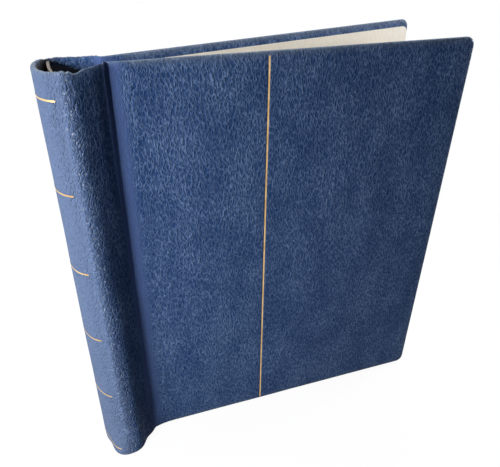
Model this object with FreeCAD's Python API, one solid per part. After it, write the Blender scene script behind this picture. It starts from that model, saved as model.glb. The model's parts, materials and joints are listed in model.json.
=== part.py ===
import FreeCAD, Part

import math
import os

from FreeCAD import Vector

# Stamp album: a padded ring binder with a soft round spine, standing a little open on its lower edges.
# Frame: +Z up, X along the middle plane from the spine (-X) to the fore-edge (+X), front cover on -Y.
# The origin is the middle of the base of the whole album. Lengths are millimetres, angles degrees.
# Plan places are (u, v): u from the line of the creases to the fore-edge, v from the middle plane.
# A cover, hinge strip or leaf is drawn flat, in (s, n) along and across it, then turned into place.
# Paired pieces are drawn on the back side (+v) and mirrored to the front.

# Covers
cover_height = 325.0
cover_width = 260.0
cover_angle = 6.5
crease_gap = 15.0
crease_thickness = 1.0
joint_width = 8.5
leatherette = 0.8
cover_foam = 0.8
cover_board = 2.2
cover_lining = 0.3
corner_radius = 7.0
outer_edge_radius = 1.6
inner_edge_radius = 0.8
turn_in = 14.0
turn_in_corner = 2.0
lining_margin = 5.2
lining_fore_margin = 1.2
lining_joint_gap = 2.0

# Gold foil rules, pressed into the leatherette
rule_width = 1.1
front_rule_offset = 101.5
front_rule_margin = 2.7
spine_rule_count = 6
spine_rule_foot = 8.5
spine_rule_head = 16.0
spine_rule_reach = 18.8
foil_depth = 0.2
foil_thickness = 0.15

# Spine
spine_thickness = 40.0
spine_depth = 12.2
spine_foam = 1.6
spine_stiffener = 0.4
board_thickness = 1.4
board_bow = 1.6
board_setback = 0.3
board_end_drop = 1.5
board_lining = 0.3
board_lining_margin = 1.2
glue_gap = 0.1

# Soft hinge strips between the spine and the covers
hinge_strip_length = 30.0
hinge_lining = 0.4
hinge_lining_margin = 1.5
hinge_clearance = 0.25

# Ring mechanism
ring_count = 13
ring_end_margin = 16.5
ring_radius = 7.0
ring_wire = 2.0
ring_tip_gap = 0.1
ring_arc = 100.0
ring_centre_height = 12.5
ring_slot_clearance = 0.7
leg_proud = 0.3
mechanism_margin = 3.5
plate_width = 19.2
plate_wall = 3.0
plate_height = 6.2
plate_metal = 0.8
rail_thickness = 1.2
rail_height = 0.9
rail_half_gap = 0.3
rail_side_clearance = 0.4
rail_end_gap = 9.0
rivet_radius = 1.75
rivet_head_radius = 3.4
rivet_head_height = 1.3
rivet_tail_radius = 3.2
rivet_tail_height = 0.9
spacer_radius = 2.8
spacer_clearance = 0.6
rivet_bay_count = 1

# Opening levers at the ends of the mechanism
lever_inset = 4.0
lever_opening = 8.5
lever_width = 12.0
lever_hub_radius = 1.9
lever_pin_radius = 1.1
lever_pin_height = 2.2
lever_pin_clearance = 0.05
lever_tab_length = 12.0
lever_tab_thickness = 1.2
lever_tab_angle = 55.0
lever_roll_radius = 1.1

# Album leaves
leaves_per_side = 4
leaf_margin = 14.0
leaf_fore_margin = 12.0
leaf_thickness = 0.3
leaf_pitch = 0.45
leaf_inset = 2.0
leaf_slot_length = 6.4
leaf_slot_height = 3.4
leaf_seat = 0.3
leaf_corner = 4.0
leaf_spread = 0.72

# Levels through a cover, from its inner face outwards; the crease lies at half its thickness
cover_thickness = cover_lining + cover_board + cover_foam + leatherette
inner_face = -cover_thickness / 2
board_face = inner_face + cover_lining
foam_face = board_face + cover_board
skin_face = foam_face + cover_foam
outer_face = skin_face + leatherette

# Hinge axes: the spine hinge lies in the spine's leatherette, the crease between strip and cover
crease_v = crease_gap / 2
hinge_v = spine_thickness / 2 - leatherette / 2
strip_angle = math.degrees(math.asin((crease_v - hinge_v) / hinge_strip_length))
hinge_u = -hinge_strip_length * math.cos(math.radians(strip_angle))
bead_radius = leatherette / 2
spine_end_u = hinge_u - bead_radius - hinge_clearance
spine_back_u = spine_end_u - spine_depth
fore_edge_u = (
    (cover_width - inner_edge_radius) * math.cos(math.radians(cover_angle))
    - (board_face + inner_edge_radius) * math.sin(math.radians(cover_angle))
    + inner_edge_radius
)
middle_u = (spine_back_u + fore_edge_u) / 2

# The bowed spine board, hollow towards the leaves
board_half = spine_thickness / 2 - leatherette
board_edge_u = spine_end_u - board_setback
board_radius = (board_half**2 + board_bow**2) / (2 * board_bow)


def board_front_u(v):
    """Where the board's front face lies at distance v from the middle plane."""
    return board_edge_u - board_bow + board_radius - math.sqrt(board_radius**2 - v**2)


# Mechanism levels, from the board lining outwards
plate_half = plate_width / 2
lining_offset = glue_gap + board_lining
base_u = board_front_u(plate_half) + lining_offset
crown_u = base_u + plate_height
arch_radius = (plate_half**2 + (plate_height - plate_wall) ** 2) / (2 * (plate_height - plate_wall))
ring_u = base_u + ring_centre_height
rail_u = base_u + rail_height
rail_outer_v = plate_half - plate_metal - rail_side_clearance
rail_axis_u = rail_u + rail_thickness / 2
pin_u = base_u + lever_pin_height

# Heights
leaf_height = cover_height - 2 * leaf_margin
leaf_width = cover_width - leaf_fore_margin - ring_u - leaf_inset
mechanism_low = leaf_margin + mechanism_margin
mechanism_high = cover_height - mechanism_low
ring_pitch = (leaf_height - 2 * ring_end_margin) / (ring_count - 1)
ring_heights = [leaf_margin + ring_end_margin + i * ring_pitch for i in range(ring_count)]
rivet_bays = (rivet_bay_count, ring_count - 2 - rivet_bay_count)
rivet_heights = [ring_heights[bay] + ring_pitch / 2 for bay in rivet_bays]
pin_height = mechanism_high - lever_inset
overlap = 1.0


def at(u, v, z=0.0):
    """A plan place as a point of the album's frame."""
    return Vector(u - middle_u, v, z)


def block(u_low, u_high, v_low, v_high, z_low, z_high):
    """A box between plan places and heights."""
    return Part.makeBox(u_high - u_low, v_high - v_low, z_high - z_low, at(u_low, v_low, z_low))


def rod(radius, u, v, z, direction, length):
    """A cylinder from a plan place along a direction."""
    return Part.makeCylinder(radius, length, at(u, v, z), direction)


def prism(edges, height):
    """The closed outline of these edges, raised by a height."""
    return Part.Face(Part.Wire(edges)).extrude(Vector(0, 0, height))


def line(start, end):
    return Part.LineSegment(start, end).toShape()


def arc(start, middle, end):
    return Part.Arc(start, middle, end).toShape()


def turned(shape, angle, u, v):
    """A flat-drawn piece, turned about the upright axis and set with its origin at a plan place."""
    placed = shape.copy()
    placed.rotate(Vector(0, 0, 0), Vector(0, 0, 1), angle)
    placed.translate(at(u, v))
    return placed


def mirrored(shape):
    """The same piece on the other side of the middle plane."""
    return shape.mirror(Vector(0, 0, 0), Vector(0, 1, 0))


def upside_down(shape):
    """The same piece at the other end of the album's height."""
    return shape.mirror(Vector(0, 0, cover_height / 2), Vector(0, 0, 1))


def sheet(s_low, s_high, z_low, z_high, radius, n_low, n_high):
    """A flat upright plate with its two fore-edge corners rounded."""
    bend = radius * (1 - math.sqrt(0.5))
    corners = [
        Vector(s_low, n_low, z_low),
        Vector(s_high - radius, n_low, z_low),
        Vector(s_high, n_low, z_low + radius),
        Vector(s_high, n_low, z_high - radius),
        Vector(s_high - radius, n_low, z_high),
        Vector(s_low, n_low, z_high),
    ]
    outline = Part.Wire([
        line(corners[0], corners[1]),
        arc(corners[1], Vector(s_high - bend, n_low, z_low + bend), corners[2]),
        line(corners[2], corners[3]),
        arc(corners[3], Vector(s_high - bend, n_low, z_high - bend), corners[4]),
        line(corners[4], corners[5]),
        line(corners[5], corners[0]),
    ])
    return Part.Face(outline).extrude(Vector(0, n_high - n_low, 0))


def rim_edges(plate, n):
    """The edges of a plate's face at level n, apart from the one on the joint side."""
    found = []
    for edge in plate.Edges:
        box = edge.BoundBox
        if abs(box.YMin - n) < 1e-6 and abs(box.YMax - n) < 1e-6 and box.XMax > joint_width + 1e-6:
            found.append(edge)
    return found


def cover_tongue():
    """The soft joint from the rounded crease up to the cover's full thickness."""
    half = crease_thickness / 2
    crease_out = Vector(0, half, 0)
    crease_in = Vector(0, -half, 0)
    cover_out = Vector(joint_width, outer_face, 0)
    cover_in = Vector(joint_width, board_face, 0)
    outline = [
        line(crease_out, cover_out),
        line(cover_out, cover_in),
        line(cover_in, crease_in),
        arc(crease_in, Vector(-half, 0, 0), crease_out),
    ]
    return prism(outline, cover_height)


def cover_core(n_low, n_high):
    """The space of the board and foam inside the wrapped leatherette."""
    return sheet(
        joint_width,
        cover_width - leatherette,
        leatherette,
        cover_height - leatherette,
        corner_radius - leatherette,
        n_low,
        n_high,
    )


def cover_board_shape():
    """The greyboard, rebated on its inner face for the turned-in leatherette."""
    lip = board_face + leatherette
    window = sheet(
        joint_width, cover_width - turn_in, turn_in, cover_height - turn_in, turn_in_corner, board_face, lip
    )
    return cover_core(lip, foam_face).fuse(window).removeSplitter()


def cover_leatherette_shape():
    """The padded cover's skin: outer face, rounded edges, turned-in lip and the joint tongue."""
    body = sheet(joint_width, cover_width, 0.0, cover_height, corner_radius, board_face, outer_face)
    body = body.makeFillet(outer_edge_radius, rim_edges(body, outer_face))
    body = body.makeFillet(inner_edge_radius, rim_edges(body, board_face))
    body = body.cut(cover_board_shape()).cut(cover_core(foam_face, skin_face))
    return body.fuse(cover_tongue()).removeSplitter()


def cover_lining_shape():
    """The cream sheet pasted over the cover's inside."""
    return sheet(
        joint_width + lining_joint_gap,
        cover_width - lining_fore_margin,
        lining_margin,
        cover_height - lining_margin,
        corner_radius - lining_fore_margin,
        inner_face,
        board_face,
    )


def front_rule_shape(depth_low, depth_high):
    """The upright rule on the front cover, between two depths under its face."""
    low = Vector(front_rule_offset - rule_width / 2, outer_face - depth_high, front_rule_margin)
    return Part.makeBox(rule_width, depth_high - depth_low, cover_height - 2 * front_rule_margin, low)


def on_cover(shape):
    """A flat-drawn cover piece at its place on the back cover."""
    return turned(shape, cover_angle, 0.0, crease_v)


def hinge_strip_shape():
    """The limp leatherette strip: a bead in the spine hinge, ending short of the crease."""
    end = hinge_strip_length - crease_thickness / 2 - hinge_clearance
    outer_start = Vector(0, bead_radius, 0)
    inner_start = Vector(0, -bead_radius, 0)
    outer_end = Vector(end, bead_radius, 0)
    inner_end = Vector(end, -bead_radius, 0)
    outline = [
        line(outer_start, outer_end),
        line(outer_end, inner_end),
        line(inner_end, inner_start),
        arc(inner_start, Vector(-bead_radius, 0, 0), outer_start),
    ]
    return prism(outline, cover_height)


def hinge_lining_shape():
    """The dark cloth inside the strip."""
    length = hinge_strip_length - 2 * hinge_lining_margin
    low = Vector(hinge_lining_margin, -bead_radius - hinge_lining, leatherette)
    return Part.makeBox(length, hinge_lining, cover_height - 2 * leatherette, low)


def on_strip(shape):
    """A flat-drawn strip piece at its place between the spine and the back cover."""
    return turned(shape, strip_angle, hinge_u, hinge_v)


def spine_core(inset, z_low, z_high):
    """The half-oval of the spine's round, drawn in by an inset."""
    half = spine_thickness / 2 - inset
    depth = spine_depth - inset
    centre = at(spine_end_u, 0.0, z_low)
    oval = Part.Ellipse(at(spine_end_u, half, z_low), at(spine_end_u - depth, 0.0, z_low), centre)
    bow = Part.ArcOfEllipse(oval, 0.0, math.pi).toShape()
    chord = line(at(spine_end_u, -half, z_low), at(spine_end_u, half, z_low))
    return prism([bow, chord], z_high - z_low)


def board_slab(front_offset, back_offset, half, z_low, z_high):
    """A bowed slab between two offsets in front of the spine board's front face."""
    edge = board_front_u(half)
    middle = board_front_u(0.0)
    front = [at(edge + front_offset, half, z_low), at(edge + front_offset, -half, z_low)]
    back = [at(edge + back_offset, half, z_low), at(edge + back_offset, -half, z_low)]
    outline = [
        arc(front[0], at(middle + front_offset, 0.0, z_low), front[1]),
        line(front[1], back[1]),
        arc(back[1], at(middle + back_offset, 0.0, z_low), back[0]),
        line(back[0], front[0]),
    ]
    return prism(outline, z_high - z_low)


inner_low = leatherette
inner_high = cover_height - leatherette
foam_outside = leatherette + glue_gap
foam_inside = foam_outside + spine_foam
stiffener_outside = foam_inside + glue_gap
hollow_inset = stiffener_outside + spine_stiffener


def spine_leatherette_shape():
    """The round spine's skin, turned in over the padding at its top and bottom."""
    shell = spine_core(0.0, 0.0, cover_height).cut(spine_core(leatherette, inner_low, inner_high))
    return shell.cut(spine_core(hollow_inset, -overlap, cover_height + overlap))


def spine_layer(outer_inset, inner_inset):
    """A layer of the spine's padding, ending behind the spine board."""
    layer = spine_core(outer_inset, inner_low, inner_high)
    layer = layer.cut(spine_core(inner_inset, inner_low - overlap, inner_high + overlap))
    room = board_thickness + board_setback + overlap
    front = board_slab(room, -board_thickness, board_half, inner_low - overlap, inner_high + overlap)
    return layer.cut(front)


def rivet_holes(radius):
    """Rods along the rivets' axes, through the board and the plate."""
    start = board_front_u(0.0) - board_thickness - overlap
    length = crown_u + overlap - start
    rods = [rod(radius, start, 0.0, z, Vector(1, 0, 0), length) for z in rivet_heights]
    return Part.makeCompound(rods)


def spine_board_shape():
    """The bowed greyboard that carries the mechanism, edged by the spine's skin."""
    low = leatherette + board_end_drop
    slab = board_slab(0.0, -board_thickness, board_half, low, cover_height - low)
    return slab.common(spine_core(leatherette, inner_low, inner_high)).cut(rivet_holes(rivet_radius))


def board_lining_shape():
    """The dark paper on the board's leaf side."""
    low = leatherette + board_end_drop
    half = board_half - board_lining_margin
    return board_slab(lining_offset, glue_gap, half, low, cover_height - low).cut(rivet_holes(rivet_radius))


def spine_rule_shapes(depth_low, depth_high):
    """The level rules round the spine's back, between two depths under its face."""
    spacing = (cover_height - spine_rule_foot - spine_rule_head) / (spine_rule_count - 1)
    rules = []
    for i in range(spine_rule_count):
        low = spine_rule_foot + i * spacing - rule_width / 2
        high = low + rule_width
        band = spine_core(depth_low, low, high).cut(spine_core(depth_high, low - overlap, high + overlap))
        reach = block(
            spine_back_u - overlap,
            spine_end_u,
            -spine_rule_reach,
            spine_rule_reach,
            low - overlap,
            high + overlap,
        )
        rules.append(band.common(reach).Solids[0])
    return Part.makeCompound(rules)


def plate_arch(inset, z_low, z_high):
    """The mechanism plate's arched section, drawn in by an inset."""
    half = plate_half - inset
    radius = arch_radius - inset
    centre_u = crown_u - arch_radius
    shoulder = centre_u + math.sqrt(radius**2 - half**2)
    right = [at(base_u, half, z_low), at(shoulder, half, z_low)]
    left = [at(shoulder, -half, z_low), at(base_u, -half, z_low)]
    outline = [
        line(right[0], right[1]),
        arc(right[1], at(crown_u - inset, 0.0, z_low), left[0]),
        line(left[0], left[1]),
        line(left[1], right[0]),
    ]
    return prism(outline, z_high - z_low)


def leg_v(u):
    """How far a ring's straight leg stands from the middle plane at a level."""
    lean = math.radians(ring_arc - 90)
    start_u = ring_u - ring_radius * math.sin(lean)
    start_v = ring_radius * math.cos(lean)
    return start_v - (start_u - u) * math.tan(lean)


def ring_slots():
    """The openings in the plate that the rings' legs come up through, on both sides."""
    low_v = leg_v(base_u + plate_wall) - ring_wire / 2 - ring_slot_clearance
    high_v = leg_v(crown_u) + ring_wire / 2 + ring_slot_clearance
    half = ring_wire / 2 + ring_slot_clearance
    slots = []
    for z in ring_heights:
        slot = block(rail_u + rail_thickness, crown_u + overlap, low_v, high_v, z - half, z + half)
        slots.append(slot)
        slots.append(mirrored(slot))
    return Part.makeCompound(slots)


def lever_openings():
    """The cut-back crown at both ends, which leaves two ears for each lever's pin."""
    top = block(
        base_u + plate_wall,
        crown_u + overlap,
        -plate_half,
        plate_half,
        mechanism_high - lever_opening,
        mechanism_high + overlap,
    )
    return Part.makeCompound([top, upside_down(top)])


def lever_pin_shape(radius):
    """The pin of the upper lever, through both ears."""
    return rod(radius, pin_u, -plate_half, pin_height, Vector(0, 1, 0), plate_width)


def mechanism_plate_shape():
    """The arched cover plate over the rails."""
    plate = plate_arch(0.0, mechanism_low, mechanism_high)
    plate = plate.cut(plate_arch(plate_metal, mechanism_low - overlap, mechanism_high + overlap))
    plate = plate.cut(ring_slots()).cut(lever_openings()).cut(rivet_holes(rivet_radius))
    pin = lever_pin_shape(lever_pin_radius)
    return plate.cut(pin).cut(upside_down(pin))


def rivet_shapes():
    """The domed rivets that hold the plate to the spine board."""
    rivets = []
    tail_u = board_front_u(0.0) - board_thickness - rivet_tail_height
    arch = plate_arch(0.0, mechanism_low, mechanism_high)
    across = Vector(1, 0, 0)
    for z in rivet_heights:
        shank = rod(rivet_radius, tail_u, 0.0, z, across, crown_u - tail_u)
        tail = rod(rivet_tail_radius, tail_u, 0.0, z, across, rivet_tail_height)
        head = rod(rivet_head_radius, crown_u - plate_metal, 0.0, z, across, plate_metal + rivet_head_height)
        head_top = at(crown_u + rivet_head_height, 0.0).x
        dome = [edge for edge in head.Edges if abs(edge.BoundBox.XMin - head_top) < 1e-6]
        head = head.makeFillet(rivet_head_height / 2, dome).cut(arch)
        rivets.append(head.fuse(shank).fuse(tail).removeSplitter())
    return Part.makeCompound(rivets)


def spacer_shapes():
    """The tubes round the rivets that keep the plate's height over the board."""
    foot_u = board_front_u(spacer_radius) + lining_offset
    spacers = []
    plate = plate_arch(0.0, mechanism_low, mechanism_high)
    plate = plate.cut(plate_arch(plate_metal, mechanism_low - overlap, mechanism_high + overlap))
    for z in rivet_heights:
        tube = rod(spacer_radius, foot_u, 0.0, z, Vector(1, 0, 0), crown_u - plate_metal - foot_u)
        spacers.append(tube.cut(rivet_holes(rivet_radius)).cut(plate))
    return Part.makeCompound([spacer.Solids[0] for spacer in spacers])


def half_ring_shapes():
    """The back halves of the rings: a round of wire and a straight leg down into the rail."""
    tip_angle = math.degrees(math.asin(ring_tip_gap / 2 / (ring_radius - ring_wire / 2)))
    lean = math.radians(ring_arc)
    leg_direction = Vector(-math.sin(lean), math.cos(lean), 0)
    leg_start_u = ring_u + ring_radius * math.cos(lean)
    leg_length = (leg_start_u - rail_u + leg_proud) / math.sin(lean)
    halves = []
    for z in ring_heights:
        circle = Part.makeCircle(ring_wire / 2, at(ring_u + ring_radius, 0.0, z), Vector(0, 1, 0))
        section = Part.Face(Part.Wire(circle))
        section.rotate(at(ring_u, 0.0, z), Vector(0, 0, 1), tip_angle)
        bow = section.revolve(at(ring_u, 0.0, z), Vector(0, 0, 1), ring_arc - tip_angle)
        leg = rod(ring_wire / 2, leg_start_u, ring_radius * math.sin(lean), z, leg_direction, leg_length)
        halves.append(bow.fuse(leg).removeSplitter())
    return Part.makeCompound([half.Solids[0] for half in halves])


def ring_rail_shape(half_rings):
    """The back rail: a flat bar that the rings' legs are set into, notched round the rivets."""
    rail = block(
        rail_u,
        rail_u + rail_thickness,
        rail_half_gap,
        rail_outer_v,
        mechanism_low + rail_end_gap,
        mechanism_high - rail_end_gap,
    )
    return rail.cut(rivet_holes(spacer_radius + spacer_clearance)).cut(half_rings)


def lever_shape():
    """The upper opening lever: a hub on its pin and a thumb tab with a rolled end."""
    half = lever_width / 2
    across = Vector(0, 1, 0)
    hub = rod(lever_hub_radius, pin_u, -half, pin_height, across, lever_width)
    tab = Part.makeBox(
        lever_tab_length, lever_width, lever_tab_thickness, Vector(0, -half, -lever_tab_thickness / 2)
    )
    roll = Part.makeCylinder(lever_roll_radius, lever_width, Vector(lever_tab_length, -half, 0), across)
    tab = tab.fuse(roll)
    tab.rotate(Vector(0, 0, 0), across, -lever_tab_angle)
    tab.translate(at(pin_u, 0.0, pin_height))
    bore = lever_pin_shape(lever_pin_radius + lever_pin_clearance)
    return hub.fuse(tab).removeSplitter().cut(bore)


def leaf_slot(offset, z):
    """One oblong hole through a leaf, for a ring's wire to pass and swing in."""
    end = leaf_slot_height / 2
    reach = leaf_slot_length / 2 - end
    start_n = offset - leaf_thickness
    near = Vector(ring_radius - reach, start_n, z)
    far = Vector(ring_radius + reach, start_n, z)
    middle = Part.makeBox(2 * reach, 2 * leaf_thickness, leaf_slot_height, near - Vector(0, 0, end))
    ends = [Part.makeCylinder(end, 2 * leaf_thickness, point, Vector(0, 1, 0)) for point in (near, far)]
    return middle.fuse(ends).removeSplitter()


def leaf_shape(place):
    """A punched leaf, counted outwards from the middle plane, hung and fanned out on the rings."""
    offset = leaf_pitch * (place - 0.5)
    drop = leaf_slot_height / 2 - ring_wire / 2 - leaf_seat
    leaf = sheet(
        leaf_inset,
        leaf_inset + leaf_width,
        leaf_margin - drop,
        cover_height - leaf_margin - drop,
        leaf_corner,
        offset - leaf_thickness / 2,
        offset + leaf_thickness / 2,
    )
    slots = Part.makeCompound([leaf_slot(offset, z - drop) for z in ring_heights])
    return turned(leaf.cut(slots), leaf_share(place) * cover_angle, ring_u, 0.0)


def leaf_share(place):
    """The share of the cover's turn that a leaf makes, counted outwards from the middle plane."""
    return leaf_spread * (place - 0.5) / (leaves_per_side - 0.5)


def build():
    """Every piece by its node name."""
    nodes = {}
    grooves = spine_rule_shapes(0.0, foil_depth)
    nodes["spine_leatherette"] = spine_leatherette_shape().cut(grooves)
    nodes["spine_foam"] = spine_layer(foam_outside, foam_inside)
    nodes["spine_stiffener"] = spine_layer(stiffener_outside, hollow_inset)
    nodes["spine_board"] = spine_board_shape()
    nodes["spine_board_lining"] = board_lining_shape()
    nodes["spine_gold_rules"] = spine_rule_shapes(foil_depth - foil_thickness, foil_depth)

    nodes["mechanism_plate"] = mechanism_plate_shape()
    nodes["plate_rivets"] = rivet_shapes()
    nodes["rivet_spacers"] = spacer_shapes()
    nodes["top_lever"] = lever_shape()
    nodes["bottom_lever"] = upside_down(nodes["top_lever"])
    nodes["top_lever_pin"] = lever_pin_shape(lever_pin_radius)
    nodes["bottom_lever_pin"] = upside_down(nodes["top_lever_pin"])
    nodes["back_half_rings"] = half_ring_shapes()
    nodes["back_ring_rail"] = ring_rail_shape(nodes["back_half_rings"])

    nodes["back_hinge_leatherette"] = on_strip(hinge_strip_shape())
    nodes["back_hinge_lining"] = on_strip(hinge_lining_shape())
    nodes["back_cover_leatherette"] = on_cover(cover_leatherette_shape())
    nodes["back_cover_foam"] = on_cover(cover_core(foam_face, skin_face))
    nodes["back_cover_board"] = on_cover(cover_board_shape())
    nodes["back_cover_lining"] = on_cover(cover_lining_shape())
    for name in [name for name in nodes if name.startswith("back_")]:
        nodes[name.replace("back_", "front_", 1)] = mirrored(nodes[name])

    groove = mirrored(on_cover(front_rule_shape(0.0, foil_depth)))
    nodes["front_cover_leatherette"] = nodes["front_cover_leatherette"].cut(groove)
    nodes["front_gold_rule"] = mirrored(on_cover(front_rule_shape(foil_depth - foil_thickness, foil_depth)))

    for place in range(1, leaves_per_side + 1):
        leaf = leaf_shape(place)
        nodes["leaf_%d" % (leaves_per_side + place)] = leaf
        nodes["leaf_%d" % (leaves_per_side + 1 - place)] = mirrored(leaf)
    return nodes


os.makedirs("parts", exist_ok=True)
nodes = build()
for name, shape in nodes.items():
    shape.exportStep("parts/%s.step" % name)
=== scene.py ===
"""The looks of a padded leatherette stamp album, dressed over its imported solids."""
import json
import math

import bpy
import numpy as np
from mathutils import Matrix, Vector


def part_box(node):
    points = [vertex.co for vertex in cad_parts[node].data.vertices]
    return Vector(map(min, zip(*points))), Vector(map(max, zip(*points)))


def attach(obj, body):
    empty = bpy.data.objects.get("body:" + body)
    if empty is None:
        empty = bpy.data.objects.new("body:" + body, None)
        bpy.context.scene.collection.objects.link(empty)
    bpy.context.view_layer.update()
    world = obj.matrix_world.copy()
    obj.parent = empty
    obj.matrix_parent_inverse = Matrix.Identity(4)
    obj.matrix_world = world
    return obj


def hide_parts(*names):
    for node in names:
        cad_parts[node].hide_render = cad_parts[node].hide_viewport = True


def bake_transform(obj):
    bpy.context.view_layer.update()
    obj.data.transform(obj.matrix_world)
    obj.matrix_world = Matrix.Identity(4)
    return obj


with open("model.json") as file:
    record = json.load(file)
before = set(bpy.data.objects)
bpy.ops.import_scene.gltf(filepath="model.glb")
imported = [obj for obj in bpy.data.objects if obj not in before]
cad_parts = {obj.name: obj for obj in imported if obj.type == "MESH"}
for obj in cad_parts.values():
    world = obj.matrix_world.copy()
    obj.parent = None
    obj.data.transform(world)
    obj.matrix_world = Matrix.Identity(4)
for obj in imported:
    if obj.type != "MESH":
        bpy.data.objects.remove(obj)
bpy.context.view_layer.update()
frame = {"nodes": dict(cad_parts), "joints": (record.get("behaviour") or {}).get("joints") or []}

MM = 0.001
nodes = frame["nodes"]
joints = {joint["name"]: joint for joint in frame["joints"]}
SIDES = {"front": -1, "back": 1}

# Camera, fitted to the photograph's edges
IMAGE_WIDTH = 500
FOCAL_PIXELS = 516.9
SENSOR = 36.0
CAMERA_PLACE = Vector((-164.3, -320.5, 402.4)) * MM
CAMERA_YAW = math.radians(25.55)
CAMERA_PITCH = math.radians(32.36)
CAMERA_ROLL = math.radians(0.65)

# Padded skin
COLUMN_STEP = 0.55 * MM
ROW_STEP = 2.5 * MM
RIM_STEPS = 7
FLANK_COLUMNS = 64
JOINT_COLUMNS = 30
SPINE_WALL = 3.05 * MM
FLANK_WALL = 1.6 * MM
CREASE_WALL = 1.2 * MM
CREASE_PROUD = 0.5 * MM
THIN_WALL = 0.4 * MM
BOARD_COVER = 0.2 * MM
FLANK_PULL = (12.0 * MM, 11.0 * MM)
FLANK_SLANT = math.radians(135)
JOINT_SLOPE = 14.0 * MM
EDGE_DEPTH = 2.0 * MM
SPINE_LIP = (2.5 * MM, 10.0 * MM)
CROWN_DROP = 0.5 * MM
CROWN_REACH = 16.0 * MM

# Covers
COVER_ROWS = 121
COVER_COLUMNS = 88
COVER_CORNER = 7.0 * MM
CORNER_COLUMNS = 10
LIP_STEPS = np.array([1.5, 3.0, 4.5]) * MM
LIP_LEVEL = 0.04 * MM
COVER_SHIFT = {"front": 1.2, "back": 1.6}

# Places along the wrap: 0 is the middle of the spine's back, 1 its shoulder, 2 the crease and 3 the
# cover's face. A span rises from its first place to its second, and falls from its third to its last.
SEAM_PLACE = 79 / 90
FLANK_SEAM = 1.5
WRAP_END = 3.0
SHOULDER_PLACE = 1.08
SHOULDER_WIDTHS = (0.17, 0.34)
SWELL_SPAN = {"front": (0.2, 0.9, 1.25, 1.9), "back": (0.2, 0.9, 0.98, 1.30)}
FOOT_SPAN = (0.3, 1.0, 1.12, 1.66)
BOARD_SPAN = (0.78, 0.90, 1.12, 1.30)
LEAN_SPAN = (1.2, 1.95, 2.3, 3.0)
PAINTED_LIGHT_FOLD_SPAN = (1.80, 1.92, 2.3, 2.75)
GATHER_SPAN = (0.85, 0.97, 1.14, 1.24)
TEETH_SPAN = (1.0, 1.3, 1.85, 1.98)
RAGGED_SPAN = (0.3, 0.6, 1.85, 1.98)
SAG_SPAN = (0.55, 0.85, 1.45, 1.9)
TUCK_END = (0.35, 0.75)
PLEAT_END = (0.75, 1.0)
# The spine's painted sheen fades out between these places.
PAINTED_SHEEN_END = (0.85, 1.3)
SOFT_END = (1.6, 1.95)
LIP_RISE = (0.75, 1.9)
JOINT_RISE = (1.45, 1.85)
CROWN_RISE = (2.0, 3.0)
DIP_BELL = (1.27, 0.13)
HOLLOW_BELL = (1.88, 0.16)
RIDGE_BELL = (1.90, 0.035)
SLIT_BELL = (2.0, 0.04)

# How the soft skin leans, swells and waves; pairs run from the bottom to the top
SPINE_LEAN = (-2.4 * MM, -0.35 * MM)
CREASE_LEAN = (-1.2 * MM, 0.7 * MM)
SPINE_SWELL = {"front": (4.0 * MM, -1.4 * MM), "back": (2.0 * MM, -2.0 * MM)}
SHOULDER_BULGE = {"front": 3.0 * MM, "back": 1.0 * MM}
FLANK_HOLLOW = {"front": 1.2 * MM, "back": 0.0}
CREASE_SLIT = {"front": 1.6 * MM, "back": 0.0}
CREASE_RIDGE = 0.9 * MM
HEAD_REACH = (0.62, 0.97)
SLIT_REACH = (0.80, 0.97)
FOOT_FLARE = {"front": 5.0 * MM, "back": 2.0 * MM}
FOOT_REACH = 36 * MM
FOOT_TUCK = 0.2 * MM
TUCK_REACH = 16 * MM
JOINT_FLARE = {"front": 3.0 * MM, "back": 1.5 * MM}
JOINT_FADE = 8.0 * MM
RIM_GATHERS = {"front": 0.85 * MM, "back": 0.35 * MM}
GATHER_STEP = {"front": 1.30 * MM, "back": 1.7 * MM}
GATHER_START = {"front": 0.6, "back": 0.0}
RIM_DIP = 1.5 * MM
RIM_SAG = 1.1 * MM
RIM_TEETH = 0.10 * MM
TOOTH_STEP = 0.25 * MM
RIM_RAGGED = 0.16 * MM
RIM_PLEATS = 0.45 * MM
PLEAT_STEP = 2.1 * MM

# Soft unevenness, as clouds of a width, a length and a height in millimetres, with their seeds
WRAP_CLOUDS = ((14, 60, 0.25, 3), (6, 30, 0.10, 4))
COVER_CLOUDS = {
    "front": ((34, 44, 0.16, 20), (13, 17, 0.05, 21)),
    "back": ((34, 44, 0.16, 30), (13, 17, 0.05, 31)),
}
RAGGED_SEED = 9

# Gold foil
RULE_WIDTH = 1.15 * MM
RULE_GROOVE = 0.22 * MM
RULE_SHOULDER = 0.35 * MM
RULE_PULL = 0.10 * MM
FOIL_PROUD = 0.07 * MM
FOIL_THICKNESS = 0.05 * MM
FOIL_MERGE = 0.004 * MM
SPINE_RULE_COUNT = 6

# Leaves
LEAF_COUNT = 8
PUNCH_LENGTH = 6.4 * MM
PUNCH_HEIGHT = 3.4 * MM
PUNCH_COUNT = 13
RING_WIRE = 2.0 * MM
RING_RADIUS = 7.0 * MM
LEAF_CORNER = 4.0 * MM
LEAF_CURL = 0.6 * MM
LEAF_MERGE = 0.01 * MM

# Stage
FLOOR_SIZE = 6.0
FLOOR_GAP = 0.2 * MM
FLOOR_GLOW = 0.94
FLOOR_FADE = (250.0, 800.0)
SURROUND = 0.02
WHITE = (1.0, 1.0, 1.0, 1.0)


# Measures of the frame
def points_of(node):
    """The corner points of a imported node."""
    return np.array([vertex.co for vertex in nodes[node].data.vertices])


def plan_direction(node):
    """The long direction of a node in plan, towards the fore-edge."""
    plan = points_of(node)[:, :2]
    along = np.linalg.svd(plan - plan.mean(axis=0), full_matrices=False)[2][0]
    return along * np.sign(along[0])


def reach(node, origin, direction):
    """The lowest and highest reach of a node in plan, from an origin along a direction."""
    places = (points_of(node)[:, :2] - origin) @ direction
    return places.min(), places.max()


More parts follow.
